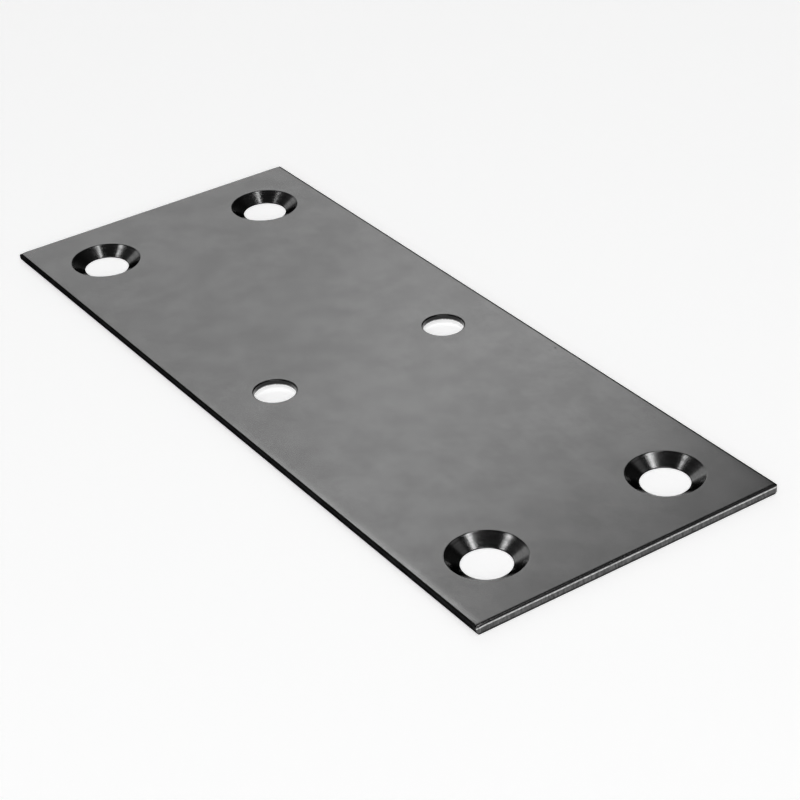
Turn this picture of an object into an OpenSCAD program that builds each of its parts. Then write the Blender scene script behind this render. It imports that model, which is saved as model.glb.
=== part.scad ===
// Bench plate: a flat steel fixing plate, cut from sheet and drilled.
// Four countersunk holes near the corners take screws from above, and two
// plain holes across the middle take bolts.
// Millimetres. The origin is on the bottom face, at the plate's centre.
// X runs along the plate, Y across it, and Z up through the sheet.

/* [Plate] */
// Length of the plate, end to end
plate_length = 125; // [80:1:300]
// Width of the plate, edge to edge
plate_width = 50; // [40:1:120]
// Thickness of the sheet
sheet_thickness = 1.5; // [1.2:0.1:4]
// Radius of the plate's corners, seen from above
corner_radius = 0.3; // [0.1:0.1:5]

/* [Long edges] */
// Radius that tumbling leaves on the top of each long edge
long_edge_top_radius = 0.2; // [0.05:0.05:0.25]
// Radius that slitting the strip from below draws up round its bottom
long_edge_bottom_radius = 0.9; // [0.1:0.05:0.9]

/* [Ends] */
// Radius that the shear draws down round the top of each end
end_top_radius = 0.5; // [0.1:0.05:0.8]
// Radius that tumbling leaves on the bottom of each end
end_bottom_radius = 0.15; // [0.05:0.05:0.3]

/* [Corner holes] */
// Diameter of the screw holes, below the countersink
corner_hole_diameter = 7; // [3:0.1:9]
// Diameter of the countersink where it meets the top face
countersink_diameter = 11; // [9.5:0.1:16]
// Angle between opposite sides of the countersink's cone, in degrees
countersink_angle = 112; // [82:1:130]
// From the plate's end to the centre of a corner hole
corner_hole_end_margin = 11.25; // [9:0.25:25]
// From the long edge to the centre of a corner hole
corner_hole_side_margin = 10; // [9:0.5:11]

/* [Middle holes] */
// Diameter of the plain bolt holes
middle_hole_diameter = 6.2; // [3:0.1:12]
// From the long edge to the centre of a middle hole
middle_hole_side_margin = 10; // [7:0.5:12]
// Radius that the punch draws down round the rim of a plain hole
middle_rim_radius = 0.2; // [0.05:0.05:0.5]

/* [Hidden] */
$fn = 96;
// How far a cutting tool runs past the faces that it cuts
tool_overrun = 1;
// Hole centres, from the plate's centre
corner_hole_x = plate_length / 2 - corner_hole_end_margin;
corner_hole_y = plate_width / 2 - corner_hole_side_margin;
middle_hole_y = plate_width / 2 - middle_hole_side_margin;
// The countersink's depth follows from its two diameters and its angle.
// Where it would pass the bottom face, the cone runs out there.
countersink_slope = tan(countersink_angle / 2);
countersink_depth = (countersink_diameter - corner_hole_diameter) / 2 / countersink_slope;

// Section through the sheet, with its bottom on the X axis and both of its
// edges rounded. span is the width from edge to edge.
module sheet_section(span, top_radius, bottom_radius) {
    top_x = span / 2 - top_radius;
    bottom_x = span / 2 - bottom_radius;
    shoulder_z = sheet_thickness - top_radius;
    translate([-top_x, bottom_radius])
        square([2 * top_x, sheet_thickness - bottom_radius]);
    translate([-bottom_x, 0])
        square([2 * bottom_x, shoulder_z]);
    translate([-span / 2, bottom_radius])
        square([span, shoulder_z - bottom_radius]);
    for (side = [-1, 1]) {
        translate([side * top_x, shoulder_z])
            circle(r = top_radius);
        translate([side * bottom_x, bottom_radius])
            circle(r = bottom_radius);
    }
}

// A length of sheet along Y with that section from side to side.
module edged_strip(run, span, top_radius, bottom_radius) {
    rotate([90, 0, 0])
        linear_extrude(run, center = true)
            sheet_section(span, top_radius, bottom_radius);
}

// The plate's outline from above, with its corners rounded.
module plan_outline() {
    corner_x = plate_length / 2 - corner_radius;
    corner_y = plate_width / 2 - corner_radius;
    square([plate_length, 2 * corner_y], center = true);
    square([2 * corner_x, plate_width], center = true);
    for (side_x = [-1, 1])
        for (side_y = [-1, 1])
            translate([side_x * corner_x, side_y * corner_y])
                circle(r = corner_radius);
}

// The sheet before drilling. Where two strips cross, only what lies in both
// is kept, so the rounded edges meet in a mitre at each corner, as they do
// where four straight cuts were made.
module blank() {
    intersection() {
        edged_strip(
            plate_width + 2 * tool_overrun,
            plate_length,
            end_top_radius,
            end_bottom_radius
        );
        rotate([0, 0, 90])
            edged_strip(
                plate_length + 2 * tool_overrun,
                plate_width,
                long_edge_top_radius,
                long_edge_bottom_radius
            );
        linear_extrude(sheet_thickness)
            plan_outline();
    }
}

// Tool for a screw hole: the cone's wall runs from the land up to the top
// face and on past it at the same angle.
module countersunk_hole() {
    translate([0, 0, -tool_overrun])
        cylinder(h = sheet_thickness + 2 * tool_overrun, d = corner_hole_diameter);
    translate([0, 0, sheet_thickness - countersink_depth])
        cylinder(
            h = countersink_depth + tool_overrun,
            d1 = corner_hole_diameter,
            d2 = countersink_diameter + 2 * tool_overrun * countersink_slope
        );
}

// Tool for a bolt hole: a straight bore with its top rim rounded over.
module plain_hole() {
    bore_radius = middle_hole_diameter / 2;
    rim_z = sheet_thickness - middle_rim_radius;
    translate([0, 0, -tool_overrun])
        cylinder(h = sheet_thickness + 2 * tool_overrun, r = bore_radius);
    rotate_extrude()
        difference() {
            translate([0, rim_z])
                square([bore_radius + middle_rim_radius, middle_rim_radius + tool_overrun]);
            translate([bore_radius + middle_rim_radius, rim_z])
                circle(r = middle_rim_radius);
        }
}

module plate() {
    color("dimgray")
        difference() {
            blank();
            for (side_x = [-1, 1])
                for (side_y = [-1, 1])
                    translate([side_x * corner_hole_x, side_y * corner_hole_y, 0])
                        countersunk_hole();
            for (side_y = [-1, 1])
                translate([0, side_y * middle_hole_y, 0])
                    plain_hole();
        }
}

plate();
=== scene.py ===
"""Bench plate: the finish of a sheet steel fixing plate, laid out as an add-on.

It is run as a script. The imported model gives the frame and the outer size. The plate is worked out
again here as one fine closed mesh, with the shear's drawn edges, the cutter's grooves and the
rolled-off rims of its holes, and gets its steel from procedural materials. Lengths inside the mesh
functions are millimetres, and the mesh is turned to metres at the end. X runs along the plate, Y
across it and Z up.
"""
import math

import bpy
import numpy as np
from mathutils import Matrix, Vector


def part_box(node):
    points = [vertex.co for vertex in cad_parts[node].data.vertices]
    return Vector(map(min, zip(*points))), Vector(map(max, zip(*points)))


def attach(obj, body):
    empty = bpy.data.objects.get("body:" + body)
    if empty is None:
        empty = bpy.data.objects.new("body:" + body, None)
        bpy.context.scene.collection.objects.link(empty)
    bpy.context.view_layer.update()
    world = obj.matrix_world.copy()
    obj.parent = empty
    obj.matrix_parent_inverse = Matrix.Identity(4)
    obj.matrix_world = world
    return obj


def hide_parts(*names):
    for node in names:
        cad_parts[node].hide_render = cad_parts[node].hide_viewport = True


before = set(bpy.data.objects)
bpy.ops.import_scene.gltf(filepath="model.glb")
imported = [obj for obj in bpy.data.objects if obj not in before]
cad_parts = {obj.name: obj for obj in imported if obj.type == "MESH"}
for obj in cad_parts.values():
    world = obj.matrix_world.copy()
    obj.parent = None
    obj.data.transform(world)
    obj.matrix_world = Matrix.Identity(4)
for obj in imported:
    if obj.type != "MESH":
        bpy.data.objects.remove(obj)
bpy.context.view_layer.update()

bl_info = {
    "name": "Bench plate",
    "version": (1, 0, 0),
    "blender": (4, 5, 0),
    "location": "View3D > Sidebar > Bench plate",
    "description": "A drilled and countersunk steel fixing plate, with its studio",
    "category": "Object",
}

MM = 0.001
NODE = "plate"
BODY = "root"
CAD_LOW, CAD_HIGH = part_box(NODE)

# How finely the mesh is drawn. Lengths are in mm.
# Segments round a hole, a multiple of four so that each side of its square patch gets as many
HOLE_SEGMENTS = 160
# Half the side of the square patch round each hole
PATCH_HALF = 7.0
# Rings of points in a patch, and how strongly they crowd towards the hole
PATCH_RINGS, PATCH_CROWD = 9, 1.6
# Between the flat face's grid lines where there is no hole
GRID_SPACING = 2.0
# Extra grid lines, this far in from the grid's own edge
EDGE_LINES = (0.25, 0.5, 0.8, 1.2)
# Where the flat face's grid stops and the edge's profile takes over, from the outline
FACE_INSET = 1.2
# Rows of the edge's profile that are still flat, and steps round each of its quarter circles
FLAT_ROWS, ROUND_STEPS = 6, 10
# Heights in the edge's profile that are closer together than this are drawn as one
LEAST_STEP = 0.0015
# Steps from a corner's mitre to each of its two sides
CORNER_STEPS = 5
# Points on each of the cutter's grooves
GROOVE_POINTS = 3
# Tiny rounds where a cone meets a face and where a plain bore meets the bottom
CONE_BREAK, BORE_BREAK = 0.04, 0.05
# Points that fall in the same tenth of a micrometre are one
WELDS_PER_MM = 1e4

# Marks of the making. Lengths are in mm.
# How far up the end's rounded shoulder the wall's finish reaches, with a painted highlight on top
HIGHLIGHT_RISE = 0.25
# Where that painted highlight begins and where it is full, above the shoulder's foot
HIGHLIGHT_BEGINS, HIGHLIGHT_FULL = 0.07, 0.14
# The face's sink along the back edge, as a share of the front's, and how much deeper it is at a
# corner, as a share of what it is along the edge
BACK_SINK, CORNER_SINK = 1 / 3, 1 / 2


def cad_size(axis):
    """The CAD plate's size along one axis, in metres."""
    return CAD_HIGH[axis] - CAD_LOW[axis]


class PlateSizes(bpy.types.PropertyGroup):
    """Sizes of the plate and of the marks that making it left."""

    length: bpy.props.FloatProperty(
        name="Length", description="End to end", default=cad_size(0), unit="LENGTH")
    width: bpy.props.FloatProperty(
        name="Width", description="Edge to edge", default=cad_size(1), unit="LENGTH")
    thickness: bpy.props.FloatProperty(
        name="Thickness", description="Of the sheet", default=cad_size(2), unit="LENGTH")
    corner_radius: bpy.props.FloatProperty(
        name="Corner radius", description="Seen from above", default=0.3 * MM, unit="LENGTH")
    end_top_radius: bpy.props.FloatProperty(
        name="End top radius", description="Drawn down by the shear",
        default=0.5 * MM, unit="LENGTH")
    end_bottom_radius: bpy.props.FloatProperty(
        name="End bottom radius", description="Left by tumbling",
        default=0.15 * MM, unit="LENGTH")
    long_top_radius: bpy.props.FloatProperty(
        name="Long edge top radius", description="Left by tumbling",
        default=0.2 * MM, unit="LENGTH")
    long_bottom_radius: bpy.props.FloatProperty(
        name="Long edge bottom radius", description="Drawn up by slitting from below",
        default=0.9 * MM, unit="LENGTH")
    edge_sink: bpy.props.FloatProperty(
        name="Edge sink", description="How far the face falls away before its front edge",
        default=0.1 * MM, unit="LENGTH")
    edge_sink_width: bpy.props.FloatProperty(
        name="Edge sink width", description="How far in from the outline that fall begins",
        default=1.6 * MM, unit="LENGTH")
    corner_hole: bpy.props.FloatProperty(
        name="Corner hole", description="Diameter below the countersink",
        default=7 * MM, unit="LENGTH")
    countersink: bpy.props.FloatProperty(
        name="Countersink", description="Diameter at the top face",
        default=11 * MM, unit="LENGTH")
    countersink_angle: bpy.props.FloatProperty(
        name="Countersink angle", description="Between opposite sides of the cone",
        default=math.radians(112), subtype="ANGLE")
    corner_hole_end: bpy.props.FloatProperty(
        name="Corner hole to end", description="From the hole's centre",
        default=11.25 * MM, unit="LENGTH")
    hole_side: bpy.props.FloatProperty(
        name="Holes to edge", description="From every hole's centre to the long edge",
        default=10 * MM, unit="LENGTH")
    middle_hole: bpy.props.FloatProperty(
        name="Middle hole", description="Diameter of the plain holes",
        default=6.2 * MM, unit="LENGTH")
    middle_rim: bpy.props.FloatProperty(
        name="Middle hole rim", description="Radius the punch draws down",
        default=0.2 * MM, unit="LENGTH")
    groove_pitch: bpy.props.FloatProperty(
        name="Groove pitch", description="Between the cutter's grooves, along the cone's wall",
        default=0.17 * MM, unit="LENGTH")
    groove_depth: bpy.props.FloatProperty(
        name="Groove depth", description="Crest to valley", default=0.0025 * MM, unit="LENGTH")


class PlateFinish(bpy.types.PropertyGroup):
    """Colours of the steel's surfaces, as they look under an even white light. The long edge, the
    end's foot and shoulder line, the countersinks' land and rim line and the plain holes' walls hold
    painted light and shade.
    """

    face: bpy.props.StringProperty(
        name="Face", description="Tumbled face where it is lightest, sRGB hex", default="#868686")
    face_low: bpy.props.StringProperty(
        name="Face, low", description="Tumbled face in its clouds, sRGB hex", default="#7e7e7e")
    pit: bpy.props.StringProperty(
        name="Pits", description="Specks in the face, sRGB hex", default="#333333")
    # painted shade: both long edge colours are dark to stand in for the shade along the slit edges,
    # with random lighter patches between them
    long_edge: bpy.props.StringProperty(
        name="Long edge", description="Slit edge where it is rubbed, sRGB hex", default="#3a3a3a")
    edge_low: bpy.props.StringProperty(
        name="Long edge, low", description="Slit edge elsewhere, sRGB hex", default="#262626")
    cut_end: bpy.props.StringProperty(
        name="Cut end", description="Sheared end where it is lightest, sRGB hex",
        default="#6e6e6e")
    cut_low: bpy.props.StringProperty(
        name="Cut end, low", description="Sheared end elsewhere, sRGB hex", default="#464646")
    # painted shade: the darker band along the sheared end's foot
    foot_shade: bpy.props.StringProperty(
        name="Cut end's foot", description="Along its bottom, sRGB hex", default="#242424")
    # painted highlight: the bright line along the sheared end's shoulder
    painted_highlight: bpy.props.StringProperty(
        name="Highlight", description="Line on the end's shoulder, sRGB hex", default="#d8d8d8")
    cut_cone: bpy.props.StringProperty(
        name="Countersink", description="Freshly cut cone where it is lightest, sRGB hex",
        default="#a0a0a0")
    cone_low: bpy.props.StringProperty(
        name="Countersink, low", description="Freshly cut cone between its rings, sRGB hex",
        default="#7a7a7a")
    # painted shade: the land below each cone and the line round its rim are painted dark, and the
    # cone's grazing reflection takes the same dark tint
    land: bpy.props.StringProperty(
        name="Land", description="Below the cone and round its rim, sRGB hex", default="#262626")
    # painted light on the plain holes' lower walls, and painted shade in the band under their rims,
    # below
    bore: bpy.props.StringProperty(
        name="Bore", description="Brightened wall of a plain hole, sRGB hex", default="#ececec")
    bore_shade: bpy.props.StringProperty(
        name="Bore, low", description="Under a plain hole's rim, sRGB hex", default="#343434")


class StudioSettings(bpy.types.PropertyGroup):
    """The camera's place and the stage."""

    lens: bpy.props.FloatProperty(
        name="Lens", description="Focal length on a 36 mm sensor, in mm", default=100.765)
    azimuth: bpy.props.FloatProperty(
        name="Azimuth", description="Of the camera from +X towards +Y",
        default=math.radians(-33.162), subtype="ANGLE")
    elevation: bpy.props.FloatProperty(
        name="Elevation", description="Of the camera above the face",
        default=math.radians(32.008), subtype="ANGLE")
    roll: bpy.props.FloatProperty(
        name="Roll", description="Of the camera, clockwise",
        default=math.radians(3.044), subtype="ANGLE")
    distance: bpy.props.FloatProperty(
        name="Distance", description="From the camera to the aimed point",
        default=320.209 * MM, unit="LENGTH")
    aim: bpy.props.FloatVectorProperty(
        name="Aim", description="Point on the top face at the picture's centre", size=2,
        default=(13.453 * MM, -2.296 * MM), unit="LENGTH")
    floor: bpy.props.StringProperty(name="Floor", description="sRGB hex", default="#f4f4f4")


def linear(hex_colour):
    """An sRGB hex colour as linear RGBA."""
    srgb = [int(hex_colour[i:i + 2], 16) / 255 for i in (1, 3, 5)]
    return [c / 12.92 if c <= 0.04045 else ((c + 0.055) / 1.055) ** 2.4 for c in srgb] + [1.0]


def node(tree, kind, settings=None, **links):
    """Adds a node. settings sets its own properties. Each link gives an input a value or another
    node's output. It names the input with underscores for spaces, or as i and its number."""
    made = tree.nodes.new(kind)
    for key, value in (settings or {}).items():
        setattr(made, key, value)
    for name, value in links.items():
        numbered = name[0] == "i" and name[1:].isdigit()
        socket = made.inputs[int(name[1:]) if numbered else name.replace("_", " ")]
        if isinstance(value, bpy.types.NodeSocket):
            tree.links.new(value, socket)
        else:
            socket.default_value = value
    return made


def steel(name, colour, roughness):
    """A metal that starts from one colour and roughness. Returns the material, its tree and its
    shader."""
    material = bpy.data.materials.new(name)
    material.use_nodes = True
    tree = material.node_tree
    tree.nodes.clear()
    shader = node(tree, "ShaderNodeBsdfPrincipled",
                  Base_Color=linear(colour), Metallic=1.0, Roughness=roughness)
    node(tree, "ShaderNodeOutputMaterial", Surface=shader.outputs["BSDF"])
    return material, tree, shader


def face_steel(finish, sizes):
    """Rolled sheet after tumbling: dull and even, with soft clouds some millimetres wide, a faint
    grain along the sheet where it was rolled, and a few dark pits. Just inside the long edges it is
    painted dark, as painted shade. It reads Object coordinates."""
    material, tree, shader = steel("tumbled_sheet_steel", finish.face, 0.24)
    place = node(tree, "ShaderNodeTexCoord").outputs["Object"]
    cloud, pit_gap = 5 * MM, 3.2 * MM
    # each line of the rolled grain
    line_length, line_width = 9 * MM, 0.35 * MM
    # the tumbling stones' own marks are finer than a pixel, so they are drawn twice as coarse
    stone_mark = 0.4 * MM
    clouds = node(tree, "ShaderNodeTexNoise",
                  Vector=place, Scale=1 / cloud, Detail=5.0, Roughness=0.55)
    drawn = node(tree, "ShaderNodeVectorMath", {"operation": "MULTIPLY"},
                 i0=place, i1=(1 / line_length, 1 / line_width, 1 / line_width))
    rolled = node(tree, "ShaderNodeTexNoise", Vector=drawn.outputs[0], Scale=1.0, Detail=3.0)
    grain = node(tree, "ShaderNodeTexNoise", Vector=place, Scale=1 / stone_mark, Detail=3.0)
    tone = node(tree, "ShaderNodeMapRange", Value=clouds.outputs[0], From_Min=0.36, From_Max=0.64)
    base = node(tree, "ShaderNodeMix", {"data_type": "RGBA"},
                i0=tone.outputs[0], i6=linear(finish.face_low), i7=linear(finish.face))

    # one cell in about sixteen has a pit, up to 0.06 of a cell in radius
    pits = node(tree, "ShaderNodeTexVoronoi", Vector=place, Scale=1 / pit_gap)
    chosen = node(tree, "ShaderNodeSeparateColor", Color=pits.outputs["Color"])
    width = node(tree, "ShaderNodeMapRange", Value=chosen.outputs[0],
                 From_Min=0.94, From_Max=1.0, To_Min=0.0, To_Max=0.06)
    inside = node(tree, "ShaderNodeMath", {"operation": "LESS_THAN"},
                  i0=pits.outputs["Distance"], i1=width.outputs[0])
    pitted = node(tree, "ShaderNodeMix", {"data_type": "RGBA"},
                  i0=inside.outputs[0], i6=base.outputs[2], i7=linear(finish.pit))

    # painted shade: the slit edge's dark colour begins a little before the long edge's round
    shade_begins, shade_full = 0.36 * MM, 0.22 * MM
    parts = node(tree, "ShaderNodeSeparateXYZ", Vector=place)
    across = node(tree, "ShaderNodeMath", {"operation": "ABSOLUTE"}, i0=parts.outputs["Y"])
    arris = node(tree, "ShaderNodeMapRange", Value=across.outputs[0],
                 From_Min=sizes.width / 2 - shade_begins, From_Max=sizes.width / 2 - shade_full)
    edge_shaded = node(tree, "ShaderNodeMix", {"data_type": "RGBA"},
                i0=arris.outputs[0], i6=pitted.outputs[2], i7=linear(finish.long_edge))
    tree.links.new(edge_shaded.outputs[2], shader.inputs["Base Color"])

    mixed = node(tree, "ShaderNodeMath", {"operation": "MULTIPLY_ADD"},
                 i0=rolled.outputs[0], i1=0.5, i2=grain.outputs[0])
    rough = node(tree, "ShaderNodeMapRange", Value=mixed.outputs[0],
                 From_Min=0.5, From_Max=1.0, To_Min=0.22, To_Max=0.26)
    tree.links.new(rough.outputs[0], shader.inputs["Roughness"])
    bump = node(tree, "ShaderNodeBump",
                Height=mixed.outputs[0], Strength=0.014, Distance=0.004 * MM)
    tree.links.new(bump.outputs[0], shader.inputs["Normal"])
    return material


def long_edge_steel(finish, sizes):
    """The slit side of the strip: rough, and painted dark as painted shade, with the slitter's fine
    marks down the wall and patches that tumbling has rubbed lighter. Its surface coordinates are
    millimetres along the wall and up it."""
    material, tree, shader = steel("slit_edge_steel", finish.long_edge, 0.45)
    # a dark tint at grazing angles, painted shade that keeps the wall from mirroring the bench there
    shader.inputs["Specular Tint"].default_value = linear(finish.edge_low)
    place = node(tree, "ShaderNodeUVMap", {"uv_map": "surface"}).outputs[0]
    marks_per_mm = (5.0, 0.7, 1.0)
    drawn = node(tree, "ShaderNodeVectorMath", {"operation": "MULTIPLY"},
                 i0=place, i1=marks_per_mm)
    marks = node(tree, "ShaderNodeTexNoise", Vector=drawn.outputs[0], Scale=1.0, Detail=4.0)
    rubbed = node(tree, "ShaderNodeTexNoise",
                  Vector=place, Scale=0.35, Detail=4.0, Roughness=0.6)
    tone = node(tree, "ShaderNodeMath", {"operation": "MULTIPLY"},
                i0=marks.outputs[0], i1=rubbed.outputs[0])
    share = node(tree, "ShaderNodeMapRange", Value=tone.outputs[0], From_Min=0.15, From_Max=0.38)
    base = node(tree, "ShaderNodeMix", {"data_type": "RGBA"},
                i0=share.outputs[0], i6=linear(finish.edge_low), i7=linear(finish.long_edge))
    tree.links.new(base.outputs[2], shader.inputs["Base Color"])
    bump = node(tree, "ShaderNodeBump", Height=marks.outputs[0], Strength=0.6, Distance=0.02 * MM)
    tree.links.new(bump.outputs[0], shader.inputs["Normal"])
    return material


def cut_end_steel(finish, sizes):
    """The sheared end: a torn grey wall with marks down it, a painted highlight as a line on its
    shoulder that sparkles a little, and painted shade along its foot. Its surface coordinates are
    millimetres along the wall and up it."""
    material, tree, shader = steel("sheared_end_steel", finish.cut_end, 0.42)
    place = node(tree, "ShaderNodeUVMap", {"uv_map": "surface"}).outputs[0]
    parts = node(tree, "ShaderNodeSeparateXYZ", Vector=place)
    marks_per_mm = (4.0, 0.8, 1.0)
    drawn = node(tree, "ShaderNodeVectorMath", {"operation": "MULTIPLY"},
                 i0=place, i1=marks_per_mm)
    marks = node(tree, "ShaderNodeTexNoise",
                 Vector=drawn.outputs[0], Scale=1.0, Detail=5.0, Roughness=0.65)
    tone = node(tree, "ShaderNodeMapRange", Value=marks.outputs[0], From_Min=0.38, From_Max=0.62)
    torn = node(tree, "ShaderNodeMix", {"data_type": "RGBA"},
                i0=tone.outputs[0], i6=linear(finish.cut_low), i7=linear(finish.cut_end))
    # heights wander with the marks, so that neither the painted highlight line nor the painted shade
    # at the foot is ruled straight
    wander = node(tree, "ShaderNodeMath", {"operation": "MULTIPLY_ADD"},
                  i0=marks.outputs[0], i1=0.12, i2=parts.outputs["Y"])
    shoulder = (sizes.thickness - sizes.end_top_radius) / MM
    # painted highlight: a bright line on the shoulder's rounding, broken up by noise
    painted_highlight = node(tree, "ShaderNodeMapRange", {"interpolation_type": "SMOOTHSTEP"},
                   Value=wander.outputs[0],
                   From_Min=shoulder + HIGHLIGHT_BEGINS, From_Max=shoulder + HIGHLIGHT_FULL)
    broken = node(tree, "ShaderNodeTexNoise", Vector=place, Scale=2.5, Detail=3.0)
    kept = node(tree, "ShaderNodeMapRange", Value=broken.outputs[0],
                From_Min=0.38, From_Max=0.56, To_Min=0.5, To_Max=1.0)
    line = node(tree, "ShaderNodeMath", {"operation": "MULTIPLY"},
                i0=painted_highlight.outputs[0], i1=kept.outputs[0])
    bright = node(tree, "ShaderNodeMix", {"data_type": "RGBA"},
                  i0=line.outputs[0], i6=torn.outputs[2], i7=linear(finish.painted_highlight))
    # painted shade: a darker band along the wall's foot
    foot_full, foot_ends = 0.32, 0.5
    foot = node(tree, "ShaderNodeMapRange", Value=wander.outputs[0],
                From_Min=foot_full, From_Max=foot_ends, To_Min=1.0, To_Max=0.0)
    base = node(tree, "ShaderNodeMix", {"data_type": "RGBA"},
                i0=foot.outputs[0], i6=bright.outputs[2], i7=linear(finish.foot_shade))
    tree.links.new(base.outputs[2], shader.inputs["Base Color"])
    bump = node(tree, "ShaderNodeBump", Height=marks.outputs[0], Strength=0.7, Distance=0.02 * MM)
    tree.links.new(bump.outputs[0], shader.inputs["Normal"])
    return material


def cone_steel(finish, sizes):
    """A countersink's freshly cut cone: bright, with the cutter's rings, spots where the edge
    chattered, and painted shade in a dark line where the cone meets the face and on the land below
    it.
    Its surface coordinates are millimetres round the hole and down the wall."""
    material, tree, shader = steel("countersunk_cut_steel", finish.cut_cone, 0.17)
    # a dark tint at grazing angles keeps the wall dark between the bands of light
    shader.inputs["Specular Tint"].default_value = linear(finish.land)
    place = node(tree, "ShaderNodeUVMap", {"uv_map": "surface"}).outputs[0]
    parts = node(tree, "ShaderNodeSeparateXYZ", Vector=place)
    rings_per_mm, spots_per_mm = (0.12, 7.0, 1.0), 3.2
    drawn = node(tree, "ShaderNodeVectorMath", {"operation": "MULTIPLY"},
                 i0=place, i1=rings_per_mm)
    rings = node(tree, "ShaderNodeTexNoise",
                 Vector=drawn.outputs[0], Scale=1.0, Detail=4.0, Roughness=0.6)
    spots = node(tree, "ShaderNodeTexNoise",
                 Vector=place, Scale=spots_per_mm, Detail=4.0, Roughness=0.6)
    mixed = node(tree, "ShaderNodeMath", {"operation": "MULTIPLY_ADD"},
                 i0=spots.outputs[0], i1=0.4, i2=rings.outputs[0])
    tone = node(tree, "ShaderNodeMapRange", Value=mixed.outputs[0], From_Min=0.54, From_Max=0.86)
    ringed = node(tree, "ShaderNodeMix", {"data_type": "RGBA"},
                  i0=tone.outputs[0], i6=linear(finish.cone_low), i7=linear(finish.cut_cone))

    # painted shade: the dark land and the dark line at the rim, both with a ragged edge
    slant = (sizes.countersink - sizes.corner_hole) / (
        2 * MM * math.sin(sizes.countersink_angle / 2))
    ragged = node(tree, "ShaderNodeMath", {"operation": "MULTIPLY_ADD"},
                  i0=spots.outputs[0], i1=0.1, i2=parts.outputs["Y"])
    land = node(tree, "ShaderNodeMapRange", Value=ragged.outputs[0],
                From_Min=slant + 0.02, From_Max=slant + 0.1)
    line_full, line_ends = 0.06, 0.14
    rim = node(tree, "ShaderNodeMapRange", Value=ragged.outputs[0],
               From_Min=line_full, From_Max=line_ends, To_Min=1.0, To_Max=0.0)
    dark = node(tree, "ShaderNodeMath", {"operation": "MAXIMUM"},
                i0=land.outputs[0], i1=rim.outputs[0])
    base = node(tree, "ShaderNodeMix", {"data_type": "RGBA"},
                i0=dark.outputs[0], i6=ringed.outputs[2], i7=linear(finish.land))
    tree.links.new(base.outputs[2], shader.inputs["Base Color"])

    rough = node(tree, "ShaderNodeMapRange", Value=spots.outputs[0],
                 From_Min=0.35, From_Max=0.65, To_Min=0.14, To_Max=0.18)
    tree.links.new(rough.outputs[0], shader.inputs["Roughness"])
    bump = node(tree, "ShaderNodeBump",
                Height=mixed.outputs[0], Strength=0.12, Distance=0.006 * MM)
    tree.links.new(bump.outputs[0], shader.inputs["Normal"])
    return material


def bore_steel(finish, sizes):
    """A punched wall with painted light and shade: painted dark round its drawn-down rim, then
    painted light lower down, light enough to mirror the bench, with the punch's marks down it. Its
    surface coordinates are millimetres round the hole and down the wall."""
    material, tree, shader = steel("punched_wall_steel", finish.bore, 0.25)
    place = node(tree, "ShaderNodeUVMap", {"uv_map": "surface"}).outputs[0]
    parts = node(tree, "ShaderNodeSeparateXYZ", Vector=place)
    marks_per_mm = (3.0, 0.5, 1.0)
    drawn = node(tree, "ShaderNodeVectorMath", {"operation": "MULTIPLY"},
                 i0=place, i1=marks_per_mm)
    marks = node(tree, "ShaderNodeTexNoise", Vector=drawn.outputs[0], Scale=1.0, Detail=4.0)
    depth = node(tree, "ShaderNodeMath", {"operation": "MULTIPLY_ADD"},
                 i0=marks.outputs[0], i1=0.2, i2=parts.outputs["Y"])
    # the rim's quarter circle, then the painted dark band below it and where the painted light takes
    # over
    rim = sizes.middle_rim / MM * math.pi / 2
    band_ends, light_full = rim + 0.56, rim + 0.84
    below = node(tree, "ShaderNodeMapRange", {"interpolation_type": "SMOOTHSTEP"},
                 Value=depth.outputs[0], From_Min=band_ends, From_Max=light_full)
    base = node(tree, "ShaderNodeMix", {"data_type": "RGBA"},
                i0=below.outputs[0], i6=linear(finish.bore_shade), i7=linear(finish.bore))
    tree.links.new(base.outputs[2], shader.inputs["Base Color"])
    bump = node(tree, "ShaderNodeBump", Height=marks.outputs[0], Strength=0.5, Distance=0.01 * MM)
    tree.links.new(bump.outputs[0], shader.inputs["Normal"])
    return material


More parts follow.
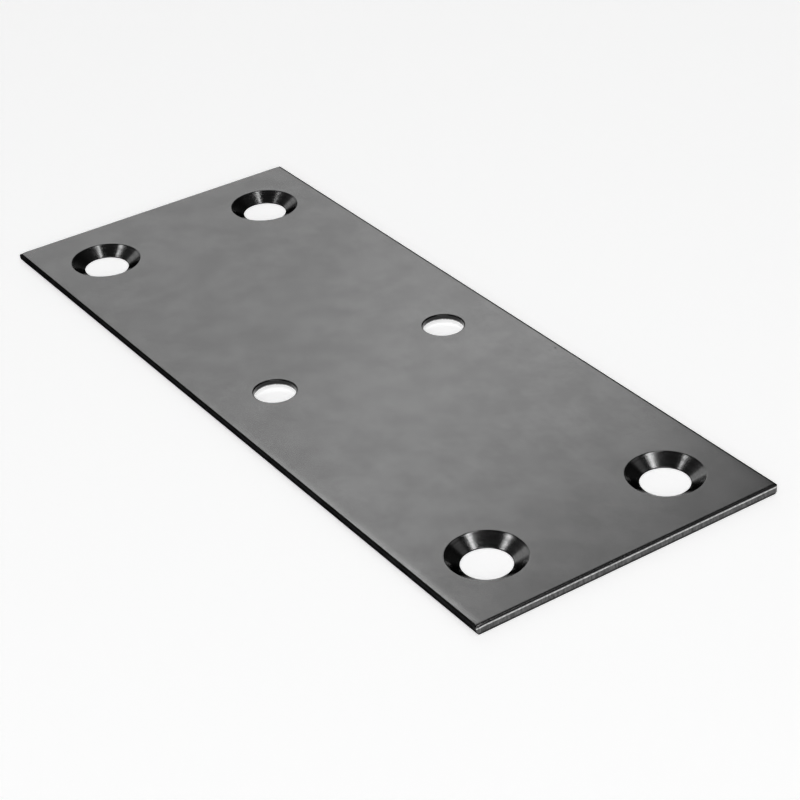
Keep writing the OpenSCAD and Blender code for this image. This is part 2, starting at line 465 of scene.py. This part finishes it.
class Mesh:
    """Gathers patches of a surface, each a grid of points with the grid's own surface
    coordinates."""

    def __init__(self):
        self.points, self.quads, self.uvs, self.kinds = [], [], [], []
        self.count = 0

    def grid(self, points, uv, kind, flip=False, keep=None):
        """Adds a grid of points, shape (rows, columns, 3). keep is a (rows-1, columns-1) mask of
        the cells to keep."""
        rows, columns = points.shape[:2]
        index = np.arange(rows * columns).reshape(rows, columns)
        corners = [index[:-1, :-1], index[:-1, 1:], index[1:, 1:], index[1:, :-1]]
        quads = np.stack(corners[::-1] if flip else corners, axis=-1)
        quads = quads.reshape(-1, 4) if keep is None else quads[keep]
        self.points.append(points.reshape(-1, 3))
        self.uvs.append(uv.reshape(-1, 2)[quads])
        self.quads.append(quads + self.count)
        kinds = np.broadcast_to(kind, (rows - 1, columns - 1))
        self.kinds.append(kinds.reshape(-1) if keep is None else kinds[keep])
        self.count += rows * columns

    def build(self, name, materials):
        """Welds points that fall together, drops what that folds up, and makes the object in
        metres."""
        points = np.concatenate(self.points)
        quads = np.concatenate(self.quads)
        uvs = np.concatenate(self.uvs)
        kinds = np.concatenate(self.kinds)
        _, first, welded = np.unique(
            np.round(points * WELDS_PER_MM).astype(np.int64), axis=0,
            return_index=True, return_inverse=True)
        corners = welded.reshape(-1)[quads]
        # a corner that repeats the one before it is dropped, so a folded quad becomes a triangle
        own = corners != np.roll(corners, 1, axis=1)
        totals = own.sum(axis=1)
        good = totals >= 3
        own &= good[:, None]
        mesh = bpy.data.meshes.new(name)
        mesh.vertices.add(len(first))
        mesh.vertices.foreach_set("co", (points[first] * MM).astype(np.float32).ravel())
        mesh.loops.add(int(own.sum()))
        mesh.loops.foreach_set("vertex_index", corners[own].astype(np.int32))
        starts = np.concatenate([[0], np.cumsum(totals[good])[:-1]]).astype(np.int32)
        mesh.polygons.add(len(starts))
        mesh.polygons.foreach_set("loop_start", starts)
        mesh.polygons.foreach_set("loop_total", totals[good].astype(np.int32))
        mesh.polygons.foreach_set("material_index", kinds[good].astype(np.int32))
        mesh.uv_layers.new(name="surface")
        mesh.uv_layers["surface"].data.foreach_set("uv", uvs[own].astype(np.float32).ravel())
        mesh.update(calc_edges=True)
        mesh.validate()
        mesh.shade_smooth()
        for material in materials:
            mesh.materials.append(material)
        piece = bpy.data.objects.new(name, mesh)
        bpy.context.scene.collection.objects.link(piece)
        return piece


# Places of the plate's materials in its slots
FACE, LONG_EDGE, CUT_END, CONE, BORE = range(5)
MAKERS = (face_steel, long_edge_steel, cut_end_steel, cone_steel, bore_steel)


def grid_lines(centres, far):
    """Places of the flat face's grid lines from -far to far. Across each hole's patch they stand
    where equal angles from its centre meet the patch's side. Between patches they stand evenly,
    and a few more stand near both ends."""
    angles = np.linspace(-math.pi / 4, math.pi / 4, HOLE_SEGMENTS // 4 + 1)
    across = PATCH_HALF * np.tan(angles)
    lines = []
    low = -far
    for centre in sorted(centres):
        count = max(2, math.ceil((centre - PATCH_HALF - low) / GRID_SPACING))
        lines.append(np.linspace(low, centre - PATCH_HALF, count + 1)[:-1])
        lines.append((centre + across)[:-1])
        low = centre + PATCH_HALF
    count = max(2, math.ceil((far - low) / GRID_SPACING))
    lines.append(np.linspace(low, far, count + 1))
    outer = far - np.array(EDGE_LINES)
    return np.unique(np.round(np.concatenate([*lines, outer, -outer]), 6))


def square_ring():
    """The unit circle at equal angles, anticlockwise from an eighth of a turn before +X, with the
    first point repeated at the end, and where rays at those angles meet the sides of a hole's
    square patch."""
    angles = np.linspace(0, 2 * math.pi, HOLE_SEGMENTS + 1) - math.pi / 4
    circle = np.stack([np.cos(angles), np.sin(angles)], axis=-1)
    square = circle * PATCH_HALF / np.abs(circle).max(axis=1, keepdims=True)
    return circle, square


def rounded_inset(height, thick, top, bottom):
    """How far a wall with rounded edges stands in from its outline at each height: the quarter
    circles' own distance from the wall's line, and none between them."""
    into_top = np.clip(height - (thick - top), 0, top)
    into_bottom = np.clip(bottom - height, 0, bottom)
    return (top - np.sqrt(top ** 2 - into_top ** 2)
            + bottom - np.sqrt(bottom ** 2 - into_bottom ** 2))


def edge_profile(sizes):
    """The plate's edge from the top face's grid down to the bottom face's, as rows of (inset from
    the end, inset from the long edge, height): flat up to each one's rounding, then at every
    height where equal turns round any of the four quarter circles stand, then flat again."""
    thick = sizes.thickness / MM
    radii = [(sizes.end_top_radius / MM, sizes.end_bottom_radius / MM),
             (sizes.long_top_radius / MM, sizes.long_bottom_radius / MM)]
    turn = 1 - np.cos(np.linspace(0, math.pi / 2, ROUND_STEPS + 1))
    levels = np.concatenate(
        [thick - top * turn for top, _ in radii] + [bottom * turn for _, bottom in radii])
    height = np.unique(np.round(levels, 5))[::-1]
    height = height[np.concatenate([[True], np.diff(height) < -LEAST_STEP])]
    height[-1] = 0.0
    insets = [rounded_inset(height, thick, *pair) for pair in radii]
    share = np.linspace(0, 1, FLAT_ROWS + 1)[:-1]
    rows = []
    for inset in insets:
        down = FACE_INSET + share * (inset[0] - FACE_INSET)
        under = (FACE_INSET + share * (inset[-1] - FACE_INSET))[::-1]
        rows.append(np.concatenate([down, inset, under]))
    return rows[0], rows[1], np.concatenate([thick + 0 * share, height, 0 * share])


def outline_at(end_inset, long_inset, half_x, half_y, radius, lines_x, lines_y):
    """The plate's outline, moved in by its two insets, anticlockwise from the back right corner.
    Each straight side has the face grid's own points. Each corner is swept by a ray about the
    face grid's corner, with one ray through the mitre. A ray stops at the moved-in sides or at
    the rounded corner, whichever it meets first."""
    reach = np.array([FACE_INSET - end_inset, FACE_INSET - long_inset])
    mitre = math.atan2(reach[1], reach[0]) if reach.any() else math.pi / 4
    angles = np.concatenate([
        np.linspace(0, mitre, CORNER_STEPS + 1),
        np.linspace(mitre, math.pi / 2, CORNER_STEPS + 1)[1:]])
    ray = np.stack([np.cos(angles), np.sin(angles)], axis=-1)
    # the floor under the ray's parts only keeps the division off zero
    to_side = (reach / np.maximum(ray, 1e-9)).min(axis=1)
    centre = FACE_INSET - radius
    along = ray.sum(axis=1) * centre
    to_round = along + np.sqrt(np.maximum(along ** 2 - 2 * centre ** 2 + radius ** 2, 0))
    in_round = (ray * to_side[:, None]).min(axis=1) > centre
    corner = ray * np.where(in_round, np.minimum(to_side, to_round), to_side)[:, None]
    x, y = half_x - FACE_INSET, half_y - FACE_INSET
    inner_x, inner_y = lines_x[1:-1], lines_y[1:-1]
    far_x, far_y = half_x - end_inset, half_y - long_inset
    sides = [
        corner + [x, y],
        np.stack([inner_x[::-1], np.full(len(inner_x), far_y)], axis=-1),
        corner[::-1] * [-1, 1] + [-x, y],
        np.stack([np.full(len(inner_y), -far_x), inner_y[::-1]], axis=-1),
        -corner + [-x, -y],
        np.stack([inner_x, np.full(len(inner_x), -far_y)], axis=-1),
        corner[::-1] * [1, -1] + [x, -y],
        np.stack([np.full(len(inner_y), far_x), inner_y], axis=-1),
    ]
    path = np.concatenate(sides)
    return np.concatenate([path, path[:1]])


def edge_sink(points, sizes):
    """How far the top face has sunk near the long edges: the square of the share of the sink's
    width that is left to the edge, deeper towards a corner, shallower along the back edge, and
    faded out down the wall."""
    half = np.array([sizes.length, sizes.width]) / (2 * MM)
    width = sizes.edge_sink_width / MM
    depth = np.where(points[..., 1] < 0, 1, BACK_SINK) * sizes.edge_sink / MM
    from_outline = half - np.abs(points[..., :2])
    to_end, to_edge = np.moveaxis(np.clip(1 - from_outline / width, 0, 1), -1, 0)
    share = points[..., 2] / (sizes.thickness / MM)
    return depth * to_edge ** 2 * (1 + to_end * CORNER_SINK) * share ** 2


def cone_profile(sizes):
    """A countersunk hole's wall as (radius, height) pairs from the top face to the bottom: a tiny
    round at the rim, the cone with the cutter's grooves as a sine wave square to its wall, the
    land, and a tiny round at the bottom."""
    thick = sizes.thickness / MM
    rim, hole = sizes.countersink / (2 * MM), sizes.corner_hole / (2 * MM)
    half_angle = sizes.countersink_angle / 2
    slant = (rim - hole) / math.sin(half_angle)
    grooves = round(slant / (sizes.groove_pitch / MM))
    t = np.linspace(0, 1, GROOVE_POINTS * grooves + 1)
    depth = sizes.groove_depth / (2 * MM)
    fade = np.clip(np.minimum(t, 1 - t) * grooves, 0, 1)
    wave = depth * (np.cos(2 * math.pi * grooves * t) - 1) * fade
    along_r = rim - (rim - hole) * t
    along_z = thick - slant * math.cos(half_angle) * t
    radius = along_r - wave * math.cos(half_angle)
    height = along_z + wave * math.sin(half_angle)
    land_z = along_z[-1]
    brk = CONE_BREAK
    lip = np.array([[rim + brk, thick], [rim + 0.4 * brk, thick - 0.1 * brk]])
    land = np.array([
        [hole, land_z - 0.03], [hole, brk], [hole + 0.3 * brk, 0.3 * brk], [hole + brk, 0]])
    body = np.stack([radius, height], axis=-1)[1:]
    return np.concatenate([lip, body, land])


def bore_profile(sizes):
    """A plain hole's wall as (radius, height) pairs: a quarter circle at the rim, the straight
    wall, and a tiny round at the bottom."""
    thick = sizes.thickness / MM
    hole, rim = sizes.middle_hole / (2 * MM), sizes.middle_rim / MM
    turn = np.linspace(0, math.pi / 2, 9)
    brk = BORE_BREAK
    radius = np.concatenate([
        hole + rim * (1 - np.sin(turn)), [hole] * 4, [hole + 0.3 * brk, hole + brk]])
    height = np.concatenate([
        thick - rim * (1 - np.cos(turn)), np.linspace(thick - rim, brk, 5)[1:], [0.3 * brk, 0]])
    return np.stack([radius, height], axis=-1)


def plate_surface(sizes):
    """The whole closed surface: two faces on one grid of lines, a square patch of rays round each
    hole, each hole's profile turned about its axis, and the edge's profile carried round the
    outline."""
    half_x, half_y = sizes.length / (2 * MM), sizes.width / (2 * MM)
    thick = sizes.thickness / MM
    end_x, row_y = half_x - sizes.corner_hole_end / MM, half_y - sizes.hole_side / MM
    holes = [(x, y, cone_profile(sizes), CONE) for x in (-end_x, end_x) for y in (-row_y, row_y)]
    holes += [(0.0, y, bore_profile(sizes), BORE) for y in (-row_y, row_y)]
    lines_x = grid_lines([-end_x, 0, end_x], half_x - FACE_INSET)
    lines_y = grid_lines([-row_y, row_y], half_y - FACE_INSET)
    surface = Mesh()

    # both flat faces, without the cells under the holes' patches
    x, y = np.meshgrid(lines_x, lines_y)
    middle_x, middle_y = (lines_x[1:] + lines_x[:-1]) / 2, (lines_y[1:] + lines_y[:-1]) / 2
    cell_x, cell_y = np.meshgrid(middle_x, middle_y)
    keep = np.ones(cell_x.shape, bool)
    for hole_x, hole_y, _, _ in holes:
        keep &= (np.abs(cell_x - hole_x) > PATCH_HALF) | (np.abs(cell_y - hole_y) > PATCH_HALF)
    flat = np.stack([x, y], axis=-1)
    for height, flip in ((thick, False), (0.0, True)):
        points = np.concatenate([flat, np.full(x.shape + (1,), height)], axis=-1)
        surface.grid(points, flat, FACE, flip, keep)

    # each hole's patches in both faces, and its wall
    circle, square = square_ring()
    share = np.linspace(0, 1, PATCH_RINGS)[:, None, None] ** PATCH_CROWD
    turn = np.linspace(0, 2 * math.pi, HOLE_SEGMENTS + 1)
    for hole_x, hole_y, profile, kind in holes:
        centre = np.array([hole_x, hole_y])
        for radius, height, flip in ((profile[0, 0], thick, True), (profile[-1, 0], 0.0, False)):
            ring = centre + (1 - share) * radius * circle + share * square
            points = np.concatenate([ring, np.full(ring.shape[:2] + (1,), height)], axis=-1)
            surface.grid(points, ring, FACE, flip)
        radius, height = profile[:, 0, None], profile[:, 1, None]
        wall = np.stack([
            hole_x + radius * circle[:, 0], hole_y + radius * circle[:, 1],
            height + 0 * circle[:, 0]], axis=-1)
        run = np.concatenate([[0], np.cumsum(np.hypot(*np.diff(profile, axis=0).T))])
        uv = np.stack(np.meshgrid(turn * profile[:, 0].mean(), run), axis=-1)
        surface.grid(wall, uv, kind)

    # the edge all round
    end_inset, long_inset, height = edge_profile(sizes)
    radius = sizes.corner_radius / MM
    rings = np.stack([
        outline_at(end, long, half_x, half_y, radius, lines_x, lines_y)
        for end, long in zip(end_inset, long_inset)])
    points = np.concatenate(
        [rings, np.broadcast_to(height[:, None, None], rings.shape[:2] + (1,))], axis=-1)
    wall_row = rings[np.argmin(end_inset + long_inset)]
    run = np.concatenate([[0], np.cumsum(np.linalg.norm(np.diff(wall_row, axis=0), axis=1))])
    uv = np.stack(np.meshgrid(run, height), axis=-1)
    mid_height = (height[1:] + height[:-1])[:, None] / 2
    middle = np.abs(wall_row[1:] + wall_row[:-1]) / 2
    at_end = half_x - middle[:, 0] < half_y - middle[:, 1]
    wall = np.where(at_end, CUT_END, LONG_EDGE)
    wall_top = thick - np.where(at_end, sizes.end_top_radius / MM - HIGHLIGHT_RISE, 0.0)
    kind = np.where((mid_height >= wall_top) | (mid_height <= 0), FACE, wall)
    surface.grid(points, uv, kind, flip=True)

    for block in surface.points:
        block[:, 2] -= edge_sink(block, sizes)
    return surface


class OBJECT_OT_bench_plate(bpy.types.Operator):
    """Make the plate with its five steel finishes"""

    bl_idname = "object.bench_plate"
    bl_label = "Make the plate"

    def execute(self, context):
        sizes, finish = context.scene.plate_sizes, context.scene.plate_finish
        materials = [make(finish, sizes) for make in MAKERS]
        piece = plate_surface(sizes).build("plate_sheet", materials)
        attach(piece, BODY)
        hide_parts(NODE)
        return {"FINISHED"}


def direction(azimuth, elevation):
    """The unit vector at an azimuth, from +X towards +Y, and an elevation, both in radians."""
    return Vector((
        math.cos(azimuth) * math.cos(elevation), math.sin(azimuth) * math.cos(elevation),
        math.sin(elevation)))


def studio_camera(studio, top):
    """Aims the camera at a point of the top face from its azimuth, elevation and distance, and
    rolls it."""
    back = direction(studio.azimuth, studio.elevation)
    data = bpy.data.cameras.new("studio_camera")
    data.lens = studio.lens
    data.sensor_width = 36
    data.clip_start, data.clip_end = 0.01, 50
    camera = bpy.data.objects.new("studio_camera", data)
    upright_view = back.to_track_quat("Z", "Y").to_matrix().to_4x4()
    turned = upright_view @ Matrix.Rotation(-studio.roll, 4, "Z")
    turned.translation = Vector((*studio.aim, top)) + back * studio.distance
    camera.matrix_world = turned
    bpy.context.scene.collection.objects.link(camera)
    bpy.context.scene.camera = camera


def area_lamp(name, placed, size, radiance):
    """A rectangular lamp. placed is its matrix, size is in metres, and its power follows from its
    radiance and its area."""
    data = bpy.data.lights.new(name, "AREA")
    data.shape = "RECTANGLE"
    data.size, data.size_y = size
    data.energy = radiance * math.pi * size[0] * size[1]
    lamp = bpy.data.objects.new(name, data)
    lamp.matrix_world = placed
    bpy.context.scene.collection.objects.link(lamp)


def softbox(name, azimuth, elevation, distance, size, radiance):
    """An area lamp that faces the plate from an azimuth and elevation in degrees."""
    back = direction(math.radians(azimuth), math.radians(elevation))
    placed = back.to_track_quat("Z", "Y").to_matrix().to_4x4()
    placed.translation = back * distance
    area_lamp(name, placed, size, radiance)


def upright(name, centre, size, radiance):
    """An area lamp that stands square to X beyond the plate's far end and faces it."""
    facing = Matrix(((0, 0, -1, 0), (-1, 0, 0, 0), (0, 1, 0, 0), (0, 0, 0, 1)))
    area_lamp(name, Matrix.Translation(centre) @ facing, size, radiance)


def studio_world():
    """A dim room: palest at the horizon, darker towards the zenith and on the plate's right."""
    world = bpy.data.worlds.new("studio_world")
    world.use_nodes = True
    tree = world.node_tree
    tree.nodes.clear()
    place = node(tree, "ShaderNodeTexCoord").outputs["Generated"]
    parts = node(tree, "ShaderNodeSeparateXYZ", Vector=place)
    level = node(tree, "ShaderNodeMapRange", {"interpolation_type": "SMOOTHSTEP"},
                 Value=parts.outputs["Z"],
                 From_Min=0.1, From_Max=0.8, To_Min=0.25, To_Max=0.025)
    dark_side = (-0.1, 0.96, 0.26)
    toward = node(tree, "ShaderNodeVectorMath", {"operation": "DOT_PRODUCT"},
                  i0=place, i1=dark_side)
    shade = node(tree, "ShaderNodeMapRange", {"interpolation_type": "SMOOTHSTEP"},
                 Value=toward.outputs["Value"],
                 From_Min=0.72, From_Max=0.95, To_Min=1.0, To_Max=0.12)
    both = node(tree, "ShaderNodeMath", {"operation": "MULTIPLY"},
                i0=level.outputs[0], i1=shade.outputs[0])
    background = node(tree, "ShaderNodeBackground", Strength=both.outputs[0])
    node(tree, "ShaderNodeOutputWorld", Surface=background.outputs["Background"])
    bpy.context.scene.world = world


def matt_floor(studio):
    """White board. It glows a little to the camera and in reflections, and more where the lamps'
    light falls off, so that the background stays white."""
    material = bpy.data.materials.new("matt_floor")
    material.use_nodes = True
    tree = material.node_tree
    tree.nodes.clear()
    shade = node(tree, "ShaderNodeBsdfDiffuse", Color=linear(studio.floor))
    path = node(tree, "ShaderNodeLightPath")
    seen = node(tree, "ShaderNodeMath", {"operation": "ADD"},
                i0=path.outputs["Is Camera Ray"], i1=path.outputs["Is Glossy Ray"])
    seen = node(tree, "ShaderNodeMath", {"operation": "ADD", "use_clamp": True},
                i0=seen.outputs[0], i1=path.outputs["Is Transmission Ray"])
    place = node(tree, "ShaderNodeTexCoord").outputs["Object"]
    away = node(tree, "ShaderNodeVectorMath", {"operation": "LENGTH"}, i0=place)
    level = node(tree, "ShaderNodeMapRange", {"interpolation_type": "SMOOTHSTEP"},
                 Value=away.outputs["Value"],
                 From_Min=0.3, From_Max=2.5, To_Min=0.52, To_Max=0.92)
    glow = node(tree, "ShaderNodeMath", {"operation": "MULTIPLY"},
                i0=seen.outputs[0], i1=level.outputs[0])
    light = node(tree, "ShaderNodeEmission", Strength=glow.outputs[0])
    both = node(tree, "ShaderNodeAddShader", i0=shade.outputs[0], i1=light.outputs[0])
    node(tree, "ShaderNodeOutputMaterial", Surface=both.outputs[0])
    return material


def studio_floor(studio, low):
    """A pale floor just under the plate that curves up into a low wall all round: a profile of
    radii and heights, in metres, turned about the vertical."""
    flat, wall, curve, top, sides = 2.0, 3.0, 0.15, 0.24, 64
    turn = np.linspace(0, math.pi / 2, 9)
    radius = np.concatenate([[0.0, flat], wall - curve + curve * np.sin(turn), [wall]])
    height = np.concatenate([[0.0, 0.0], curve - curve * np.cos(turn), [top]]) + low
    around = np.linspace(0, 2 * math.pi, sides + 1)[:-1]
    points = np.stack([
        np.outer(radius, np.cos(around)), np.outer(radius, np.sin(around)),
        np.repeat(height[:, None], sides, axis=1)], axis=-1).reshape(-1, 3)
    index = np.arange(len(points)).reshape(len(radius), -1)
    beside = np.roll(index, -1, axis=1)
    faces = np.stack([index[:-1], index[1:], beside[1:], beside[:-1]], axis=-1)
    mesh = bpy.data.meshes.new("studio_floor")
    mesh.from_pydata(points.tolist(), [], faces.reshape(-1, 4).tolist())
    mesh.shade_smooth()
    mesh.materials.append(matt_floor(studio))
    floor = bpy.data.objects.new("studio_floor", mesh)
    bpy.context.scene.collection.objects.link(floor)


class OBJECT_OT_plate_studio(bpy.types.Operator):
    """Set the floor, the light and the camera"""

    bl_idname = "object.plate_studio"
    bl_label = "Set the studio"

    def execute(self, context):
        studio = context.scene.plate_studio
        gap = 0.02 * MM
        studio_floor(studio, CAD_LOW.z - gap)
        studio_world()
        # what the flat face mirrors, with a brighter patch for its middle and a dimmer one above
        upright("back_panel", (-1.0, 0.56, 0.605), (0.96, 0.65), radiance=0.7)
        upright("back_panel_middle", (-0.99, 0.8, 0.8), (0.4, 0.3), radiance=0.57)
        upright("upper_panel", (-1.0, 0.62, 1.26), (1.0, 0.5), radiance=0.34)
        # the lighter strip along the front edge, where the face falls away
        softbox("edge_light", 155.5, 42.9, 1.2, (0.24, 0.11), radiance=2.6)
        # the two bright bands on each countersink's wall, then two dimmer ones beside them
        softbox("right_strip", 39.5, 69, 1.6, (0.16, 0.74), radiance=3.4)
        softbox("left_strip", 233.5, 50.5, 2.5, (0.28, 1.2), radiance=2.5)
        upright("left_panel", (-1.0, -0.14, 0.42), (0.4, 0.4), radiance=0.42)
        softbox("right_glow", 74, 45, 1.2, (0.3, 0.3), radiance=0.12)
        # the floor, the sheared end and the long edge, from the camera's side
        softbox("key_light", -33, 36, 1.3, (1.2, 1.2), radiance=2.3)
        studio_camera(studio, CAD_HIGH.z)
        context.scene.view_settings.view_transform = "Standard"
        return {"FINISHED"}


class VIEW3D_PT_bench_plate(bpy.types.Panel):
    """Lists the plate's operators and settings"""

    bl_label = "Bench plate"
    bl_idname = "VIEW3D_PT_bench_plate"
    bl_space_type = "VIEW_3D"
    bl_region_type = "UI"
    bl_category = "Bench plate"

    def draw(self, context):
        layout = self.layout
        for group, operator in (
            (context.scene.plate_sizes, None),
            (context.scene.plate_finish, OBJECT_OT_bench_plate),
            (context.scene.plate_studio, OBJECT_OT_plate_studio),
        ):
            for name in group.bl_rna.properties.keys():
                if name not in ("rna_type", "name"):
                    layout.prop(group, name)
            if operator:
                layout.operator(operator.bl_idname)


CLASSES = (
    PlateSizes, PlateFinish, StudioSettings, OBJECT_OT_bench_plate, OBJECT_OT_plate_studio,
    VIEW3D_PT_bench_plate,
)
GROUPS = {
    "plate_sizes": PlateSizes,
    "plate_finish": PlateFinish,
    "plate_studio": StudioSettings,
}


def register():
    for cls in CLASSES:
        bpy.utils.register_class(cls)
    for name, group in GROUPS.items():
        setattr(bpy.types.Scene, name, bpy.props.PointerProperty(type=group))


def unregister():
    for name in GROUPS:
        delattr(bpy.types.Scene, name)
    for cls in reversed(CLASSES):
        bpy.utils.unregister_class(cls)


def main():
    register()
    bpy.ops.object.bench_plate()
    bpy.ops.object.plate_studio()


if __name__ == "__main__":
    main()
